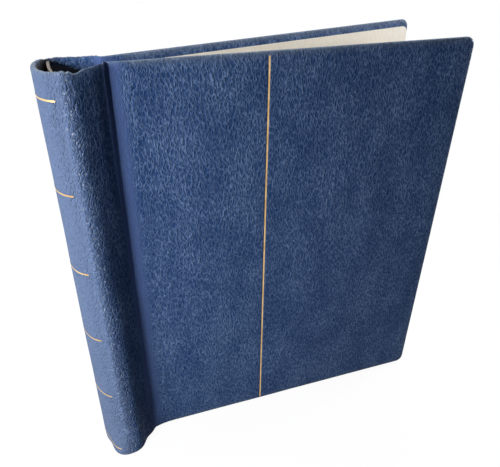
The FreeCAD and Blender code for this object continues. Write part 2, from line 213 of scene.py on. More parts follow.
crease = np.array(joints["back_crease_bend"]["pos_m"][:2])
ring_axis = np.array(joints["leaf_1_turn"]["pos_m"][:2])
spine_low, spine_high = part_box("spine_leatherette")
album_height = spine_high.z
spine_depth = spine_high.x - spine_low.x
spine_half = spine_high.y
cover_along = plan_direction("back_cover_board")
cover_out = np.array([-cover_along[1], cover_along[0]])
cover_width = reach("back_cover_leatherette", crease, cover_along)[1]
outer_level = reach("back_cover_leatherette", crease, cover_out)[1]
inner_level = reach("back_cover_board", crease, cover_out)[0] - LIP_LEVEL


# Node kit
class Tone:
    """A node's output that takes part in sums and products."""

    def __init__(self, maker, socket):
        self.maker = maker
        self.socket = socket

    def maths(self, operation, *values):
        """A Math node of this output and more values."""
        inputs = dict(enumerate((self, *values)))
        return self.maker.node("ShaderNodeMath", {"operation": operation}, inputs)

    def other(self, name):
        """Another output of the same node."""
        return Tone(self.maker, self.socket.node.outputs[name])

    def __add__(self, other):
        return self.maths("ADD", other)

    def __sub__(self, other):
        return self.maths("SUBTRACT", other)

    def __rsub__(self, other):
        return self.maker.node("ShaderNodeMath", {"operation": "SUBTRACT"}, {0: other, 1: self})

    def __mul__(self, other):
        return self.maths("MULTIPLY", other)

    __radd__ = __add__
    __rmul__ = __mul__

    def abs(self):
        """The size of the value without its sign."""
        return self.maths("ABSOLUTE")

    def least(self, other):
        """The lesser of two values."""
        return self.maths("MINIMUM", other)

    def most(self, other):
        """The greater of two values."""
        return self.maths("MAXIMUM", other)

    def step(self, low, high):
        """A smooth step from 0 at low to 1 at high, or back where low is the higher."""
        settings = {"interpolation_type": "SMOOTHSTEP"}
        if low < high:
            return self.maker.node("ShaderNodeMapRange", settings, {0: self, 1: low, 2: high})
        return 1 - self.step(high, low)


class Maker:
    """A node tree whose nodes all come from one method."""

    def __init__(self, tree):
        self.tree = tree

    def node(self, kind, settings=None, inputs=None, output=0):
        """Makes a node, sets it up, fills or links its sockets and gives one output."""
        made = self.tree.nodes.new(kind)
        for key, value in (settings or {}).items():
            setattr(made, key, value)
        for key, value in (inputs or {}).items():
            socket = made.inputs[key]
            for item in value if isinstance(value, list) else [value]:
                if isinstance(item, Tone):
                    self.tree.links.new(item.socket, socket)
                else:
                    socket.default_value = item
        return Tone(self, made.outputs[output])

    def vector(self, operation, *values):
        """A Vector Math node of some values."""
        return self.node("ShaderNodeVectorMath", {"operation": operation}, dict(enumerate(values)))

    def split(self, vector):
        """The three parts of a vector."""
        parts = self.node("ShaderNodeSeparateXYZ", inputs={0: vector})
        return [parts.other(axis) for axis in "XYZ"]


class Finish(Maker):
    """A procedural material."""

    def __init__(self, name, kind="materials"):
        self.material = getattr(bpy.data, kind).new(name)
        self.material.use_nodes = True
        super().__init__(self.material.node_tree)
        self.tree.nodes.clear()

    def object_mm(self):
        """Object coordinates in millimetres."""
        return self.scaled(self.node("ShaderNodeTexCoord", output="Object"), (1000, 1000, 1000))

    def uv_mm(self):
        """The piece's own surface coordinates in millimetres."""
        return self.scaled(self.node("ShaderNodeTexCoord", output="UV"), (1000, 1000, 1000))

    def scaled(self, vector, factors):
        """A stretched vector."""
        inputs = {"Vector": vector, "Scale": factors}
        return self.node("ShaderNodeMapping", {"vector_type": "POINT"}, inputs)

    def oriented(self, vector, width, length, turn):
        """A vector measured in cells of a width and a length that lean by a turn."""
        inputs = {"Vector": vector, "Rotation": (0, 0, turn), "Scale": (width, length, 1.0)}
        return self.node("ShaderNodeMapping", {"vector_type": "TEXTURE"}, inputs)

    def noise(self, vector, size, detail=2.0, output="Fac"):
        """Noise with features of about a size, in the vector's units."""
        inputs = {"Vector": vector, "Scale": 1 / size, "Detail": detail, "Roughness": 0.5}
        return self.node("ShaderNodeTexNoise", {"noise_dimensions": "3D"}, inputs, output)

    def cells(self, vector, size, feature="F1"):
        """The distances in Voronoi cells of about a size."""
        inputs = {"Vector": vector, "Scale": 1 / size, "Randomness": 1.0}
        return self.node("ShaderNodeTexVoronoi", {"feature": feature}, inputs, "Distance")

    def warped(self, vector, size, amount):
        """A vector pushed about by noise."""
        push = self.vector("SUBTRACT", self.noise(vector, size, 2.0, "Color"), (0.5, 0.5, 0.5))
        return self.vector("MULTIPLY_ADD", push, (2 * amount,) * 3, vector)

    def weave(self, across, up, pitch):
        """A plain weave of threads, from -1 to 1."""
        turns = 2 * math.pi / pitch
        return (across * turns).maths("SINE") * (up * turns).maths("SINE")

    def mix(self, factor, low, high):
        """Two colours mixed by a factor."""
        settings = {"data_type": "RGBA", "blend_type": "MIX", "clamp_factor": True}
        low, high = (colour if isinstance(colour, Tone) else (*colour, 1.0) for colour in (low, high))
        return self.node("ShaderNodeMix", settings, {0: factor, 6: low, 7: high}, 2)

    def attribute(self, name):
        """A value stored on the piece's points."""
        return self.node("ShaderNodeAttribute", {"attribute_name": name}, output="Fac")

    def bump(self, height_mm):
        """A normal from a height in millimetres."""
        return self.node("ShaderNodeBump", inputs={"Strength": 1.0, "Distance": MM, "Height": height_mm})

    def seen_ray(self):
        """1 for what the camera sees, straight or by way of gloss or glass, and 0 for other light."""
        path = self.node("ShaderNodeLightPath", output="Is Camera Ray")
        return path.most(path.other("Is Glossy Ray")).most(path.other("Is Transmission Ray"))

    def done(self, **sockets):
        """Ends the material in a Principled shader."""
        inputs = {key.replace("_", " "): value for key, value in sockets.items()}
        self.node_out(self.node("ShaderNodeBsdfPrincipled", inputs=inputs, output="BSDF"))
        return self.material

    def node_out(self, shader, kind="Material"):
        """Links a shader to the output."""
        output = self.tree.nodes.new("ShaderNodeOutput" + kind)
        self.tree.links.new(shader.socket, output.inputs["Surface"])


# Finishes
def navy_leatherette():
    """Embossed navy leatherette: a net of thin leaning ridges, wrinkles and pores. Painted light on it: paler
    lit ridges, a paler spine of sheen with glints, a lighter joint band, and a pale rim line that is part
    wear.
    """
    f = Finish("navy_leatherette")
    uv = f.uv_mm()
    rim, fold, painted_sheen = f.attribute("rim"), f.attribute("fold"), f.attribute("painted_sheen")
    bent = f.warped(f.warped(uv, 22.0, 2.6), 5.0, 0.8)
    net = f.cells(f.oriented(bent, 2.6, 6.2, 0.14), 1.0, "DISTANCE_TO_EDGE")
    crossing = f.cells(f.oriented(bent, 2.1, 5.2, -0.36), 1.0, "DISTANCE_TO_EDGE")
    broken = f.noise(f.oriented(bent, 1.3, 3.0, 0.2), 1.0, 2.0).step(0.38, 0.60)
    ridges = net.step(0.20, 0.0).most(crossing.step(0.17, 0.0) * 0.8)
    strokes = ridges * (0.30 + broken * 0.80)
    wrinkles = f.noise(f.oriented(bent, 0.8, 2.0, 0.25), 1.0, 2.0)
    pores = f.noise(uv, 0.45, 2.0)
    patches = f.noise(f.oriented(uv, 1.0, 1.7, 0.0), 24.0, 3.0).step(0.34, 0.70)
    calm = (1 - rim * 0.6) * (1 - fold * 0.75)
    height = (strokes * (0.36 + patches * 0.26) + wrinkles * 0.14 + pores * 0.03) * calm
    valley = f.mix(patches, (0.017, 0.047, 0.142), (0.030, 0.070, 0.184))
    # The pale colour of the ridges is partly the grain's own tone, partly painted highlight where the ridges
    # catch the light.
    base = f.mix(strokes * calm * (0.50 + patches * 0.40), valley, (0.148, 0.226, 0.410))
    # Painted light: the joint band beside the crease is lighter and bluer where it catches the light.
    base = f.mix(fold * 0.55, base, (0.105, 0.160, 0.370))
    # Painted sheen: the spine is paler and greyer where it faces the light.
    base = f.mix(painted_sheen * (0.66 + wrinkles * 0.25), base, (0.116, 0.158, 0.262))
    # Painted glints: pale specks on the spine's shoulders, where the painted sheen fades out.
    specks = f.noise(uv, 1.7, 2.0).step(0.58, 0.70) * painted_sheen * (1 - painted_sheen) * 4
    base = f.mix(specks * (0.35 + strokes * 0.5), base, (0.42, 0.46, 0.52))
    # A pale line along the rims, broken up by noise: part wear, part painted highlight where the edges catch
    # the light.
    rim_wear_and_highlight = f.noise(uv, 1.3, 3.0).step(0.40, 0.66)
    base = f.mix(rim * (0.30 + rim_wear_and_highlight * 0.45), base, (0.26, 0.31, 0.34))
    roughness = 0.50 - strokes * 0.08 + patches * 0.04
    return f.done(Base_Color=base, Roughness=roughness, Specular_IOR_Level=0.02, Normal=f.bump(height))


def hinge_cloth():
    """The cloth inside the hinge strips: a fine plain weave, near black, partly its own dark blue and partly
    painted shade of the hollow.
    """
    f = Finish("hinge_cloth")
    uv = f.uv_mm()
    across, up, _ = f.split(uv)
    weave = f.weave(across, up, 0.7)
    fluff = f.noise(uv, 1.2, 3.0)
    # Near black: partly the cloth's own dark blue, partly painted shade.
    base = f.mix(fluff, (0.005, 0.007, 0.014), (0.013, 0.017, 0.030))
    return f.done(Base_Color=base, Roughness=0.85 - fluff * 0.1, Normal=f.bump(weave * 0.05 + fluff * 0.05))


def gold_foil():
    """Hot-stamped gold: satin metal with small breaks and tarnish."""
    f = Finish("gold_foil")
    place = f.object_mm()
    tarnish = f.noise(place, 9.0, 3.0)
    specks = f.noise(place, 0.55, 2.0)
    breaks = specks.step(0.60, 0.72)
    base = f.mix(tarnish.step(0.3, 0.7), (0.62, 0.39, 0.15), (0.80, 0.56, 0.27))
    base = f.mix(breaks * 0.6, base, (0.30, 0.18, 0.07))
    metallic, roughness = 0.75 - breaks * 0.3, 0.34 + tarnish * 0.14
    normal = f.bump(specks * 0.03 + tarnish * 0.05)
    return f.done(Base_Color=base, Metallic=metallic, Roughness=roughness, Normal=normal)


def cream_lining():
    """Cream lining paper with faint fibres and a soft mottle."""
    f = Finish("cream_lining")
    place = f.object_mm()
    fibres = f.noise(f.scaled(place, (1.0, 1.0, 0.25)), 0.8, 3.0)
    mottle = f.noise(place, 30.0, 3.0)
    base = f.mix(fibres.step(0.35, 0.7), (0.82, 0.78, 0.70), (0.89, 0.86, 0.79))
    base = f.mix(mottle.step(0.35, 0.75) * 0.4, base, (0.86, 0.80, 0.70))
    normal = f.bump(fibres * 0.05 + mottle * 0.10)
    return f.done(Base_Color=base, Roughness=0.72 - fibres * 0.1, Normal=normal)


def album_leaf(width, height):
    """Album paper: a cream sheet with a printed frame, a faint square grid and a linen hinge."""
    f = Finish("album_leaf")
    uv = f.uv_mm()
    across, up, _ = f.split(uv)
    width, height = width / MM, height / MM
    linen_edge, margin, frame_gap, line, pitch = 24.0, 16.0, 2.2, 0.35, 5.0
    left, right = across - (linen_edge + 8.0), (width - margin) - across
    edge = left.least(right).least(up - margin).least((height - margin) - up)
    outer = (edge.abs() - line).step(0.18, 0.0)
    inner = ((edge - frame_gap).abs() - line * 0.4).step(0.18, 0.0)
    grid_across = (across.maths("PINGPONG", pitch / 2)).step(0.16, 0.05)
    grid_up = (up.maths("PINGPONG", pitch / 2)).step(0.16, 0.05)
    inside = edge.step(frame_gap + 1.0, frame_gap + 1.4)
    print_mask = (outer.most(inner) * 0.75).most(grid_across.most(grid_up) * inside * 0.28)
    fibres = f.noise(uv, 0.7, 3.0)
    mottle = f.noise(uv, 40.0, 3.0)
    base = f.mix(fibres.step(0.3, 0.7), (0.66, 0.62, 0.53), (0.76, 0.72, 0.63))
    base = f.mix(mottle.step(0.4, 0.8) * 0.5, base, (0.68, 0.60, 0.47))
    base = f.mix(print_mask, base, (0.17, 0.18, 0.20))
    linen = across.step(linen_edge + 0.15, linen_edge - 0.15)
    weave = f.weave(across, up, 0.6)
    base = f.mix(linen * 0.75, base, f.mix(weave.step(-0.6, 0.6), (0.42, 0.38, 0.31), (0.58, 0.53, 0.44)))
    height_mm = fibres * 0.02 + linen * (weave * 0.04 + 0.08) + mottle * 0.08
    return f.done(Base_Color=base, Roughness=0.66 + linen * 0.18, Normal=f.bump(height_mm))


def greyboard():
    """Pressed grey board: long fibres and dark flecks."""
    f = Finish("greyboard")
    place = f.object_mm()
    fibres = f.noise(f.scaled(place, (1.0, 1.0, 0.3)), 0.9, 4.0)
    flecks = f.cells(place, 1.7).step(0.22, 0.10)
    base = f.mix(fibres.step(0.3, 0.7), (0.15, 0.13, 0.115), (0.26, 0.23, 0.20))
    base = f.mix(flecks * 0.6, base, (0.10, 0.085, 0.07))
    normal = f.bump(fibres * 0.15 + flecks * 0.05)
    return f.done(Base_Color=base, Roughness=0.88 - flecks * 0.08, Normal=normal)


def dark_paper():
    """Lining paper with a soft fibre, near black: partly its own black-blue, partly painted shade of the
    hollow spine.
    """
    f = Finish("dark_paper")
    place = f.object_mm()
    fibres = f.noise(f.scaled(place, (1.0, 1.0, 0.4)), 0.7, 3.0)
    mottle = f.noise(place, 18.0, 2.0)
    # Near black: partly the paper's own black-blue, partly painted shade.
    base = f.mix(fibres.step(0.3, 0.7), (0.006, 0.007, 0.010), (0.016, 0.018, 0.023))
    base = f.mix(mottle.step(0.5, 0.8) * 0.4, base, (0.022, 0.023, 0.027))
    return f.done(Base_Color=base, Roughness=0.80 - fibres * 0.15, Normal=f.bump(fibres * 0.05))


def bright_metal(name, tint, dull, roughness):
    """Plated metal: fine drawing lines, handling smears and dull spots."""
    f = Finish(name)
    place = f.object_mm()
    lines = f.noise(f.scaled(place, (3.0, 3.0, 0.12)), 0.35, 2.0)
    smears = f.noise(place, 11.0, 3.0)
    spots = f.noise(place, 1.4, 2.0).step(0.62, 0.74)
    base = f.mix(smears.step(0.35, 0.75) * 0.5 + spots * 0.3, tint, dull)
    rough = roughness + smears * 0.10 + lines * 0.06 + spots * 0.12
    return f.done(Base_Color=base, Metallic=1.0, Roughness=rough, Normal=f.bump(lines * 0.012 + spots * 0.01))


# Surfaces
def smooth(value):
    """A smooth step of values from 0 to 1."""
    value = np.clip(value, 0.0, 1.0)
    return value * value * (3 - 2 * value)


def ease(value, low, high):
    """A smooth step from 0 at low to 1 at high."""
    return smooth((value - low) / (high - low))


def fall(value, low, high):
    """A smooth step from 1 at low to 0 at high."""
    return 1 - ease(value, low, high)


def hump(value, span):
    """A smooth rise between the first two places of a span and a fall between the last two."""
    return ease(value, *span[:2]) * fall(value, *span[2:])


def bell(value, place, width):
    """A bell curve that is 1 at a place."""
    return np.exp(-(((value - place) / width) ** 2))


def between(ends, share):
    """A value between two ends."""
    return ends[0] + (ends[1] - ends[0]) * share


def cloud(across, up, size_across, size_up, seed):
    """Smooth noise from -1 to 1 over a surface, from a seeded lattice."""
    count = 64
    lattice = np.random.default_rng(seed).uniform(-1, 1, (count, count))
    i, j = np.broadcast_arrays(across / size_across, up / size_up)
    i_low, j_low = np.floor(i).astype(int), np.floor(j).astype(int)
    i_part, j_part = smooth(i - i_low), smooth(j - j_low)
    total = 0.0
    for i_step, i_share in ((0, 1 - i_part), (1, i_part)):
        for j_step, j_share in ((0, 1 - j_part), (1, j_part)):
            total = total + lattice[(i_low + i_step) % count, (j_low + j_step) % count] * i_share * j_share
    return total


def unevenness(across, up, clouds):
    """The sum of some clouds over a surface."""
    sizes = ((wide * MM, tall * MM, high * MM, seed) for wide, tall, high, seed in clouds)
    return sum(cloud(across, up, wide, tall, seed) * high for wide, tall, high, seed in sizes)


def grid_cells(rows, columns):
    """The numbers of the four points round each cell of a grid."""
    number = np.arange(rows * columns).reshape(rows, columns)
    return np.stack([number[:-1, :-1], number[:-1, 1:], number[1:, 1:], number[1:, :-1]], axis=-1)


def link_object(name, data):
    """An object in the scene, from its mesh, lamp or camera."""
    made = bpy.data.objects.new(name, data)
    bpy.context.scene.collection.objects.link(made)
    return made


def skin_piece(name, points, faces, uv, attributes, finishes):
    """A smooth piece with a place on the surface for each point and values stored on its points."""
    mesh = bpy.data.meshes.new(name)
    mesh.from_pydata(points.tolist(), [], faces.tolist())
    for finish in finishes:
        mesh.materials.append(finish)
    layer = mesh.uv_layers.new(name="surface")
    layer.data.foreach_set("uv", uv.astype(np.float32).ravel())
    for key, values in attributes.items():
        stored = mesh.attributes.new(key, "FLOAT", "POINT")
        stored.data.foreach_set("value", values.astype(np.float32))
    mesh.shade_smooth()
    return link_object(name, mesh)


def grid_piece(name, points, uv, finishes, attributes, face_finish, normals):
    """A piece from a grid of points; face_finish gives each cell's finish, or -1 for no face."""
    shown = face_finish >= 0
    used, faces = np.unique(grid_cells(*points.shape[:2])[shown], return_inverse=True)
    faces = faces.reshape(-1, 4)
    values = {key: value.reshape(-1)[used] for key, value in attributes.items()}
    corner_uv = uv.reshape(-1, 2)[used][faces.ravel()]
    piece = skin_piece(name, points.reshape(-1, 3)[used], faces, corner_uv, values, finishes)
    piece.data.polygons.foreach_set("material_index", face_finish[shown].astype(np.int32))
    piece.data.normals_split_custom_set_from_vertices(normals.reshape(-1, 3)[used].tolist())
    return piece


def ring_normals(points):
    """The outward normals of a grid of points whose rows close on themselves."""
    up = np.roll(points, -1, axis=0) - np.roll(points, 1, axis=0)
    normals = np.cross(np.gradient(points, axis=1), up)
    return normals / np.maximum(np.linalg.norm(normals, axis=2, keepdims=True), 1e-12)


def closed(rows):
    """Rows with the first one repeated at the end."""
    return np.concatenate([rows, rows[:1]])


# The skin that wraps the spine, from the front cover's joint to the back cover's
def bezier(points, share):
    """A cubic curve through four control points."""
    share = share[:, None]
    rest = 1 - share
    first, second, third, last = points
    return rest**3 * first + 3 * rest**2 * share * second + 3 * rest * share**2 * third + share**3 * last


def half_wrap():
    """Plan stations of one half of the wrap, from the middle of the spine's back to the cover."""
    angles = np.linspace(0, math.pi / 2, int(spine_half * 1.3 / COLUMN_STEP))
    x = spine_high.x - spine_depth * np.cos(angles)
    ellipse = np.stack([x, spine_half * np.sin(angles)], axis=1)
    shoulder = np.array([spine_high.x, spine_half])
    fold = crease + CREASE_PROUD * cover_out
    leave = shoulder + np.array([FLANK_PULL[0], 0.3 * MM])
    arrive = fold + FLANK_PULL[1] * np.array([math.cos(FLANK_SLANT), math.sin(FLANK_SLANT)])
    share = 1 - (1 - np.linspace(0, 1, FLANK_COLUMNS)) ** 1.35
    flank = bezier([shoulder, leave, arrive, fold], share)
    along = JOINT_SLOPE * np.linspace(0, 1, JOINT_COLUMNS)[1:] ** 1.5
    level = between((CREASE_PROUD, outer_level), smooth(along / (JOINT_SLOPE * 0.95)))
    joint = crease + along[:, None] * cover_along + level[:, None] * cover_out
    plan = np.concatenate([ellipse, flank[1:], joint])
    zone = np.concatenate([angles / (math.pi / 2), 1 + share[1:], 2 + along / JOINT_SLOPE])
    return plan, zone


def wrap_columns():
    """The whole wrap's plan stations, outward normals, zones (below 0 in front) and arc lengths."""
    plan, zone = half_wrap()
    whole = np.concatenate([plan[::-1] * [1, -1], plan[1:]])
    signed = np.concatenate([-zone[::-1], zone[1:]])
    steps = np.linalg.norm(np.diff(whole, axis=0), axis=1)
    arc = np.concatenate([[0.0], np.cumsum(steps)])
    arc -= arc[len(plan) - 1]
    tangent = np.gradient(whole, axis=0)
    tangent /= np.linalg.norm(tangent, axis=1, keepdims=True)
    outward = np.stack([-tangent[:, 1], tangent[:, 0]], axis=1)
    return whole, outward, signed, arc


def wall_thickness(zone):
    """The wall from the outer skin to the inner face, along the wrap."""
    joint_wall = outer_level - inner_level
    places, walls = zip(
        (0.0, SPINE_WALL), (SEAM_PLACE, SPINE_WALL), (1.12, FLANK_WALL), (1.85, CREASE_WALL),
        (2.0, CREASE_WALL), (2.12, CREASE_WALL * 1.5), (2.75, joint_wall), (WRAP_END, joint_wall),
    )
    return np.interp(zone, places, walls)


def wrap_rows():
    """How the rows run: place from outer 1 to inner -1, share of the height, and rise at the rims."""
    outer = np.linspace(0, 1, int(album_height / ROW_STEP))
    turn = np.linspace(0, math.pi, RIM_STEPS + 1)
    lip = np.append(np.arange(1.0, 13.0), [16.0, 24.0]) * MM
    span = album_height - 2 * EDGE_DEPTH
    middle = np.linspace(lip[-1], span - lip[-1], 20)[1:-1]
    inner = np.concatenate([lip, middle, (span - lip)[::-1]]) / span
    place = [np.ones_like(outer), np.cos(turn[1:]), -np.ones_like(inner), -np.cos(turn[:-1])]
    share = [outer, np.ones(RIM_STEPS), 1 - inner, np.zeros(RIM_STEPS)]
    rise = [np.zeros_like(outer), np.sin(turn[1:]), np.zeros_like(inner), -np.sin(turn[:-1])]
    return [np.concatenate(parts)[:, None] for parts in (place, share, rise)]


def near_head(up, shares):
    """A smooth step up the album, between two shares of its height."""
    return ease(up, shares[0] * album_height, shares[1] * album_height)


def from_rims(up):
    """How far a height is from the nearer rim."""
    return np.minimum(up, album_height - up)


def foot_flare(zone, side):
    """How far the foot of the wrap stands out, along the wrap."""
    past = np.clip(zone - 2, 0, None) * JOINT_SLOPE
    joint = JOINT_FLARE[side] * ease(zone, *JOINT_RISE) * bell(past, 0.0, JOINT_FADE)
    return FOOT_FLARE[side] * hump(zone, FOOT_SPAN) + joint


def relief(zone, arc, up, side):
    """How far the soft skin stands out from its plain wrap, over the columns and heights."""
    height_share = up / album_height
    swell_low, swell_high = SPINE_SWELL[side]
    swell = swell_low * (1 - height_share) ** 2 + swell_high * height_share**2
    swell = swell * hump(zone, SWELL_SPAN[side])
    foot = foot_flare(zone, side) * (1 - smooth(up / FOOT_REACH))
    tuck = -FOOT_TUCK * (1 - smooth(up / TUCK_REACH)) * fall(zone, *TUCK_END)
    back = -between(SPINE_LEAN, height_share) * np.sin(np.clip(1 - zone, 0, 1) * math.pi / 2) ** 2
    soft = unevenness(arc, up, WRAP_CLOUDS) * fall(zone, *SOFT_END)
    width = np.where(zone < SHOULDER_PLACE, *SHOULDER_WIDTHS)
    corner = SHOULDER_BULGE[side] * bell(zone, SHOULDER_PLACE, width) * smooth(up / FOOT_REACH)
    ridge = CREASE_RIDGE * bell(zone, *RIDGE_BELL) * near_head(up, HEAD_REACH)
    crown = -CROWN_DROP * (1 - smooth(from_rims(up) / CROWN_REACH)) * ease(zone, *CROWN_RISE)
    return swell + foot + tuck + back + soft + corner + ridge + crown


def crease_nip(zone, up, side):
    """How deep the flank and the crease are nipped in towards the head."""
    hollow = FLANK_HOLLOW[side] * bell(zone, *HOLLOW_BELL) * near_head(up, HEAD_REACH)
    return -hollow - CREASE_SLIT[side] * bell(zone, *SLIT_BELL) * near_head(up, SLIT_REACH)


def rim_wave(zone, arc, side):
    """How the top edge of the wrap waves up and down."""
    gathers = np.abs(np.sin(arc / GATHER_STEP[side] + GATHER_START[side])) * RIM_GATHERS[side]
    ragged = cloud(arc, 0 * arc, 0.8 * MM, 1.0, RAGGED_SEED) * RIM_RAGGED * hump(zone, RAGGED_SPAN)
    wave = gathers * hump(zone, GATHER_SPAN) + ragged
    if side == "back":
        return wave - RIM_SAG * hump(zone, SAG_SPAN)
    teeth = np.sin(arc / TOOTH_STEP) * RIM_TEETH * hump(zone, TEETH_SPAN)
    return wave + teeth - RIM_DIP * bell(zone, *DIP_BELL)


def skin_wrap(leatherette, cloth):
    """Every piece of the wrap: the spine's skin, the flanks and the creases."""
    plan, outward, signed, arc = wrap_columns()
    zone = np.abs(signed)
    wall = wall_thickness(zone)
    place, share, rise = wrap_rows()
    depth = np.minimum(EDGE_DEPTH, wall * 0.55)
    up = depth + share * (album_height - 2 * depth) + rise * depth

    def sided(rule, *places):
        """What a rule gives, each side by its own values."""
        front, back = (rule(zone, *places, side) for side in SIDES)
        return np.where(signed < 0, front, back)

    outer = sided(relief, arc, up) + sided(crease_nip, up)
    outer = outer + np.maximum(-BOARD_COVER - outer, 0.0) * hump(zone, BOARD_SPAN)
    pleats = np.abs(np.sin(arc / PLEAT_STEP)) * RIM_PLEATS * fall(zone, *PLEAT_END)
    pleats = pleats * fall(from_rims(up), 2 * MM, 12 * MM)
    inner = np.minimum(pleats - wall, outer - THIN_WALL)
    outside = (1 + place) / 2
    offset = outer * outside + inner * (1 - outside)
    shift = between(CREASE_LEAN, up / album_height) * hump(zone, LEAN_SPAN)
    x = plan[:, 0] + outward[:, 0] * offset + shift
    y = plan[:, 1] + outward[:, 1] * offset
    z = up + sided(rim_wave, arc) * ease(up, album_height - 14 * MM, album_height - 2 * MM)
    points = np.stack([x, y, z], axis=-1)
    normals = closed(ring_normals(points))
    points = closed(points)
    steps = np.linalg.norm(np.diff(points[:, points.shape[1] // 2], axis=0), axis=1)
    run = np.concatenate([[0.0], np.cumsum(steps)])
    uv = np.stack(np.broadcast_arrays(arc + 1.0, run[:, None]), axis=-1)
    everywhere = np.zeros_like(up)
    attributes = {
        # The rim value marks the pale rim line, part wear and part painted highlight.
        "rim": closed(np.exp(-from_rims(up) / (0.7 * MM)) * (place > -0.9)),
        # The fold value marks the joint band, whose lighter colour is painted light and whose grain is
        # calmer.
        "fold": closed(hump(zone, PAINTED_LIGHT_FOLD_SPAN) + everywhere),
        # This value marks where the spine is painted paler, as sheen where it faces the light.
        "painted_sheen": closed(fall(zone, *PAINTED_SHEEN_END) + everywhere),
    }
    row_place, row_share = place[:, 0], share[:, 0]
    inner_row = (row_place < -0.99) & (np.roll(row_place, -1) < -0.99)
    row_depth = np.minimum(row_share, 1 - row_share) * (album_height - 2 * EDGE_DEPTH)
    row_depth = np.maximum(row_depth, np.roll(row_depth, -1))[:, None]
    lip = between(SPINE_LIP, ease(zone, *LIP_RISE))
    deep_cell = inner_row[:, None] & (row_depth > (lip[1:] + lip[:-1]) / 2)
    edges = (-WRAP_END, -FLANK_SEAM, -SEAM_PLACE, SEAM_PLACE, FLANK_SEAM, WRAP_END)
    edges = [int(np.argmin(np.abs(signed - edge))) for edge in edges]
    names = ("front_crease_skin", "front_flank_skin", "spine_skin", "back_flank_skin", "back_crease_skin")
    pieces = {}
    for name, first, last in zip(names, edges, edges[1:]):
        columns = slice(first, last + 1)
        deep = -1 if name == "spine_skin" else 1
        face_finish = np.where(deep_cell[:, first:last], deep, 0)
        values = {key: value[:, columns] for key, value in attributes.items()}
        pieces[name] = grid_piece(
            name, points[:, columns], uv[:, columns], [leatherette, cloth], values, face_finish,
            normals[:, columns],
        )
    return pieces


# Cover skins
def cover_point(side, along, level, up):
    """Points of a cover in the album's frame, from places along, out from and up the cover."""
    plan = crease + along[..., None] * cover_along + level[..., None] * cover_out
    return np.stack([plan[..., 0], SIDES[side] * plan[..., 1], up], axis=-1)


def from_edges(along, up):
    """How far a place on a cover is from its nearest free edge."""
    return np.minimum(from_rims(up), cover_width - along)


def rule_place():
    """How far along the front cover its gold rule lies."""
    mirrored = points_of("front_gold_rule")[:, :2] * [1, -1]
    return ((mirrored - crease) @ cover_along).mean()


def cover_columns(has_rule):
    """Places along a cover for its columns, with more of them at the gold rule's groove."""
    columns = np.linspace(JOINT_SLOPE, cover_width - EDGE_DEPTH, COVER_COLUMNS)
    corner = np.linspace(0, math.pi / 2, CORNER_COLUMNS)
    bend = cover_width - COVER_CORNER + (COVER_CORNER - EDGE_DEPTH) * np.sin(corner)
    columns = np.concatenate([columns[columns < bend[0] - MM], bend])
    if has_rule:
        half = RULE_WIDTH / 2
        marks = np.array([half, half + RULE_SHOULDER, 3.0 * half])
        marks = rule_place() + np.concatenate([-marks[::-1], [0.0], marks])
        far = np.abs(columns - rule_place()) > 3.5 * half
        columns = np.sort(np.concatenate([columns[far], marks]))
    return columns


def cover_relief(side, along, up, has_rule):
    """How far a cover's soft face stands off its plain level."""
    crown = -CROWN_DROP * (1 - smooth(from_edges(along, up) / CROWN_REACH))
    soft = unevenness(along, up, COVER_CLOUDS[side]) * ease(along, JOINT_SLOPE, JOINT_SLOPE + 25 * MM)
    soft = soft + JOINT_FLARE[side] * bell(along, 0.0, JOINT_FADE) * (1 - smooth(up / FOOT_REACH))
    if not has_rule:
        return crown + soft
    from_rule = np.abs(along - rule_place())
    low, high = (corner.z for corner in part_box("front_gold_rule"))
    inside = hump(up, (low - 1.5 * MM, low, high, high + 1.5 * MM))
    groove = fall(from_rule, RULE_WIDTH / 2, RULE_WIDTH / 2 + RULE_SHOULDER) * RULE_GROOVE
    pull = np.exp(-from_rule / (2.5 * MM)) * RULE_PULL
    return crown + soft - (groove + pull) * inside


